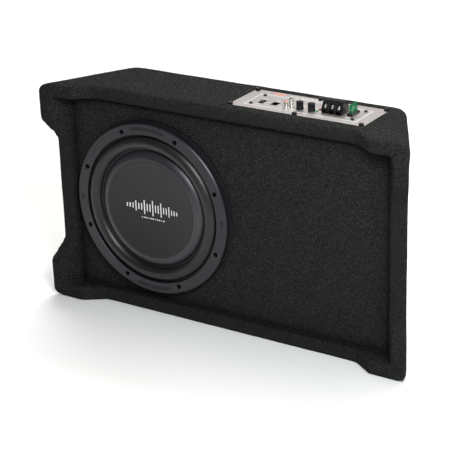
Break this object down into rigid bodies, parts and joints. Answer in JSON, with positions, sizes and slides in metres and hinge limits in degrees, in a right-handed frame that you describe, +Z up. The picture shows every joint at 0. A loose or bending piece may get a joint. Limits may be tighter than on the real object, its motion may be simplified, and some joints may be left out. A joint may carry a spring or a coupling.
{
  "type": "powered car subwoofer",
  "caption": "Shallow carpeted sloping-sided box with corner feet, a sunk baffle holding a shallow 12 inch loudspeaker, and an amplifier plate with sockets, knobs and fuse let into its top.",
  "frame": {"origin": "middle of the bottom face", "axes": "+X to the right seen from the loudspeaker side, +Y towards the plain back, +Z up"},
  "size_m": [0.731, 0.16, 0.43],
  "materials": {
    "mdf": "raw board",
    "carpet": "needle-punched trim carpet",
    "wadding": "polyester wadding",
    "foam": "closed-cell foam",
    "frame_black": "satin black coating",
    "surround_rubber": "smooth rubber",
    "cone_black": "satin injection-moulded",
    "cap_black": "satin",
    "spider_cloth": "resin-dipped cloth",
    "former_foil": "foil",
    "winding_copper": "enamelled copper wire",
    "plated_steel": "zinc plated",
    "ferrite": "ground ferrite",
    "boot_rubber": "matt",
    "screw_black": "black oxide",
    "plate_silver": "silver, glossy",
    "chassis_aluminium": "mill finish",
    "board_green": "solder mask",
    "capacitor_sleeve": "shrink sleeve",
    "coil_enamel": "enamelled wire",
    "nickel": "nickel plate",
    "core_orange": "moulded",
    "core_black": "moulded",
    "housing_black": "moulded",
    "knob_black": "ribbed, moulded",
    "lever_grey": "moulded",
    "led_green": "clear epoxy",
    "led_red": "clear epoxy",
    "fuse_green": "translucent plastic",
    "lead_insulation": "insulation"
  },
  "bodies": {
    "cabinet": {"top_panel": "mdf", "bottom_panel": "mdf", "left_panel": "mdf", "right_panel": "mdf", "front_baffle": "mdf", "back_panel": "mdf", "brace": "mdf", "carpet_wrap": "carpet", "bottom_carpet": "carpet", "baffle_carpet": "carpet", "back_carpet": "carpet", "damping_wadding": "wadding", "driver_gasket": "foam", "basket": "frame_black", "surround": "surround_rubber", "spider": "spider_cloth", "motor_top_plate": "plated_steel", "motor_yoke": "plated_steel", "tee_nuts": "plated_steel", "magnet": "ferrite", "magnet_boot": "boot_rubber", "lead_grommet": "boot_rubber", "driver_screws": "screw_black", "plate_screws": "screw_black", "board_screws": "screw_black", "amp_plate": "plate_silver", "amp_chassis": "chassis_aluminium", "heatsink": "chassis_aluminium", "board_standoffs": "chassis_aluminium", "circuit_board": "board_green", "capacitors": "capacitor_sleeve", "toroid_coil": "coil_enamel", "rca_shells": "nickel", "driver_terminals": "nickel", "rca_core_right": "core_orange", "rca_core_left": "core_black", "rca_housing": "housing_black", "potentiometers": "housing_black", "terminal_block": "housing_black", "fuse_holder": "housing_black", "switch_housing": "housing_black", "control_port": "housing_black", "power_led": "led_green", "protect_led": "led_red", "speaker_leads": "lead_insulation"},
    "cone_assembly": {"cone": "cone_black", "dust_cap": "cap_black", "voice_coil_former": "former_foil", "voice_coil_winding": "winding_copper"},
    "level_control": {"level_knob": "knob_black", "level_shaft": "nickel"},
    "crossover_control": {"crossover_knob": "knob_black", "crossover_shaft": "nickel"},
    "switch": {"switch_lever": "lever_grey"},
    "fuse": {"fuse_body": "fuse_green", "fuse_blades": "nickel"},
    "supply_screw": {"supply_clamp_screw": "nickel"},
    "remote_screw": {"remote_clamp_screw": "nickel"},
    "ground_screw": {"ground_clamp_screw": "nickel"}
  },
  "joints": [
    {"name": "cone_travel", "type": "slide", "parent": "cabinet", "child": "cone_assembly", "axis": [0, -1, 0], "range_m": [-0.008, 0.008], "stiffness_N_per_m": 5000, "deforming": ["surround", "spider"]},
    {"name": "level_turn", "type": "hinge", "parent": "cabinet", "child": "level_control", "pos_m": [0.1245, 0.0017, 0.4155], "axis": [0, 0, 1], "range_deg": [-140, 140]},
    {"name": "crossover_turn", "type": "hinge", "parent": "cabinet", "child": "crossover_control", "pos_m": [0.1465, 0.0017, 0.4155], "axis": [0, 0, 1], "range_deg": [-140, 140]},
    {"name": "switch_slide", "type": "slide", "parent": "cabinet", "child": "switch", "axis": [0, 1, 0], "range_m": [0, 0.005]},
    {"name": "fuse_pull", "type": "slide", "parent": "cabinet", "child": "fuse", "axis": [0, 0, 1], "range_m": [0, 0.03]},
    {"name": "supply_screw_turn", "type": "hinge", "parent": "cabinet", "child": "supply_screw", "pos_m": [0.1709, 0.0043, 0.4215], "axis": [0, -0.8503, 0.5264], "range_deg": [0, 720]},
    {"name": "remote_screw_turn", "type": "hinge", "parent": "cabinet", "child": "remote_screw", "pos_m": [0.1835, 0.0043, 0.4215], "axis": [0, -0.8503, 0.5264], "range_deg": [0, 720]},
    {"name": "ground_screw_turn", "type": "hinge", "parent": "cabinet", "child": "ground_screw", "pos_m": [0.1961, 0.0043, 0.4215], "axis": [0, -0.8503, 0.5264], "range_deg": [0, 720]}
  ]
}
